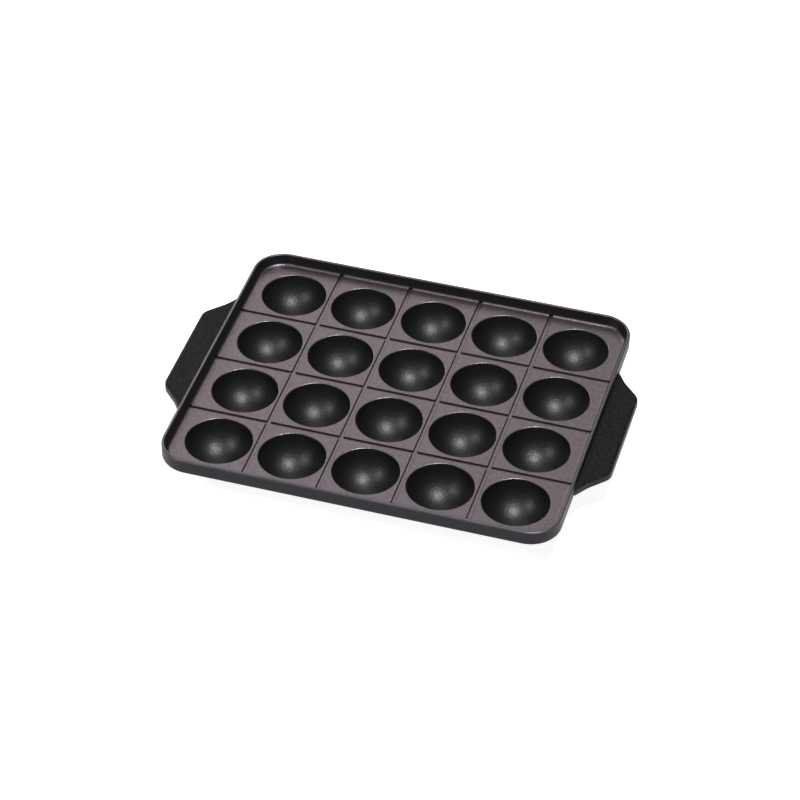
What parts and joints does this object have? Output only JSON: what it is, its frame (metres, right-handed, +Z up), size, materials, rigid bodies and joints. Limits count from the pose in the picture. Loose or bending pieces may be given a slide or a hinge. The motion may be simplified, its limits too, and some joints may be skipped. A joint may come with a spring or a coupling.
{
  "type": "takoyaki plate",
  "caption": "Flat rectangular cooking plate with a grid of round cups, a raised rim, crossing grooves and a moulded grip at each short end.",
  "frame": {"origin": "middle of the footprint, level with the flat feet under the cups", "axes": "+X along the long side from the left grip to the right grip, +Y away from the cook, +Z up out of the cups"},
  "size_m": [0.2776, 0.206, 0.0285],
  "materials": {
    "coated_casting": "die casting with a dark purple-brown non-stick coating, satin",
    "grip_resin": "black heat-resistant moulding with a fine sandy texture",
    "insert_brass": "turned, plain",
    "spring_steel": "blackened spring steel",
    "screw_steel": "zinc plated"
  },
  "bodies": {
    "root": {"grill_plate": "coated_casting", "grip_left": "grip_resin", "grip_right": "grip_resin", "grip_inserts_left": "insert_brass", "grip_inserts_right": "insert_brass", "grip_washers_left": "spring_steel", "grip_washers_right": "spring_steel", "grip_screws_left": "screw_steel", "grip_screws_right": "screw_steel"}
  },
  "joints": []
}
